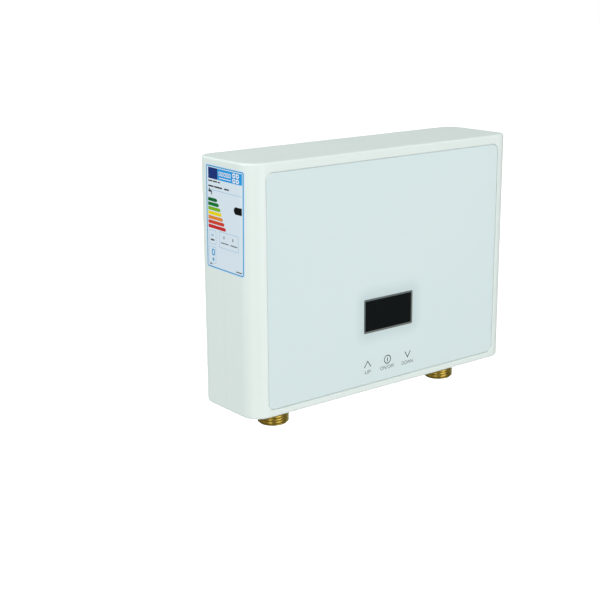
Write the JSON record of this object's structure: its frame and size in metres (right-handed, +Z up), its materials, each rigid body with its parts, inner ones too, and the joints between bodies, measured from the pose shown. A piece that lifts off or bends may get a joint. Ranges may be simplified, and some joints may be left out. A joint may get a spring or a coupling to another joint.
{
  "type": "tankless water heater",
  "caption": "Slim wall-hung electric tankless water heater: rounded white plastic case, flush glass panel with display window and touch keys, threaded brass nipples below.",
  "frame": {"origin": "middle of the flat back face, which lies on the wall", "axes": "+X to the right of someone who faces the glass, +Y into the wall, +Z up; the glass faces -Y and the nipples point down"},
  "size_m": [0.223, 0.059, 0.176],
  "materials": {
    "case_white": "satin moulded white plastic, faint cool tint",
    "panel_glass": "toughened glass printed pale blue-grey on its back, black display window",
    "tape": "grey foam tape",
    "brass": "bare machined brass",
    "aluminium": "cast, slightly rough",
    "steel": "plain bright steel",
    "copper": "bare copper strip",
    "rubber": "matte black rubber",
    "board_green": "solder-mask green with soldered parts",
    "black_plastic": "black moulded plastic",
    "white_plastic": "natural white engineering plastic",
    "relay_blue": "blue relay can",
    "terminal_grey": "grey terminal housing",
    "red_plastic": "red reset button",
    "brown_lead": "brown insulated wire",
    "blue_lead": "blue insulated wire",
    "earth_lead": "green and yellow insulated wire",
    "grey_lead": "grey insulated wire"
  },
  "bodies": {
    "case": {"rear_shell": "case_white", "front_cover": "case_white", "glass_panel": "panel_glass", "panel_tape": "tape", "display_board": "board_green", "display_module": "black_plastic", "touch_spring_up": "steel", "touch_spring_power": "steel", "touch_spring_down": "steel", "power_board": "board_green", "relay": "relay_blue", "triac_heatsink": "aluminium", "triac": "black_plastic", "terminal_block": "terminal_grey", "heater_block": "aluminium", "water_tube": "steel", "heating_element_outer": "steel", "heating_element_inner": "steel", "element_link_live": "copper", "element_link_neutral": "copper", "thermal_cutout": "black_plastic", "earth_screw": "steel", "earth_tag": "steel", "inlet_nipple": "brass", "outlet_nipple": "brass", "inlet_filter": "white_plastic", "inlet_seal": "rubber", "outlet_seal": "rubber", "tube_seal_inlet": "rubber", "tube_seal_outlet": "rubber", "flow_sensor_body": "white_plastic", "flow_sensor_cap": "white_plastic", "rotor_shaft": "steel", "hall_sensor": "black_plastic", "outlet_coupling": "white_plastic", "outlet_probe": "brass", "cable_grommet": "rubber", "lead_live": "brown_lead", "lead_cutout": "brown_lead", "lead_neutral": "blue_lead", "lead_earth": "earth_lead", "lead_sensor": "grey_lead", "lead_probe": "grey_lead", "display_ribbon": "grey_lead", "case_screw_1": "steel", "case_screw_2": "steel", "case_screw_3": "steel", "case_screw_4": "steel", "terminal_screw_1": "steel", "terminal_screw_2": "steel", "terminal_screw_3": "steel", "power_board_screw_1": "steel", "power_board_screw_2": "steel", "block_screw_1": "steel", "block_screw_2": "steel", "cutout_screw_1": "steel", "cutout_screw_2": "steel"},
    "rotor": {"rotor": "black_plastic"},
    "reset_button": {"reset_button": "red_plastic"}
  },
  "joints": [
    {"name": "rotor_spin", "type": "hinge", "parent": "case", "child": "rotor", "pos_m": [0.075, -0.0295, -0.0485], "axis": [0, 0, 1], "continuous": true},
    {"name": "reset_press", "type": "slide", "parent": "case", "child": "reset_button", "axis": [0, 1, 0], "range_m": [0, 0.0015], "stiffness_N_per_m": 400}
  ]
}
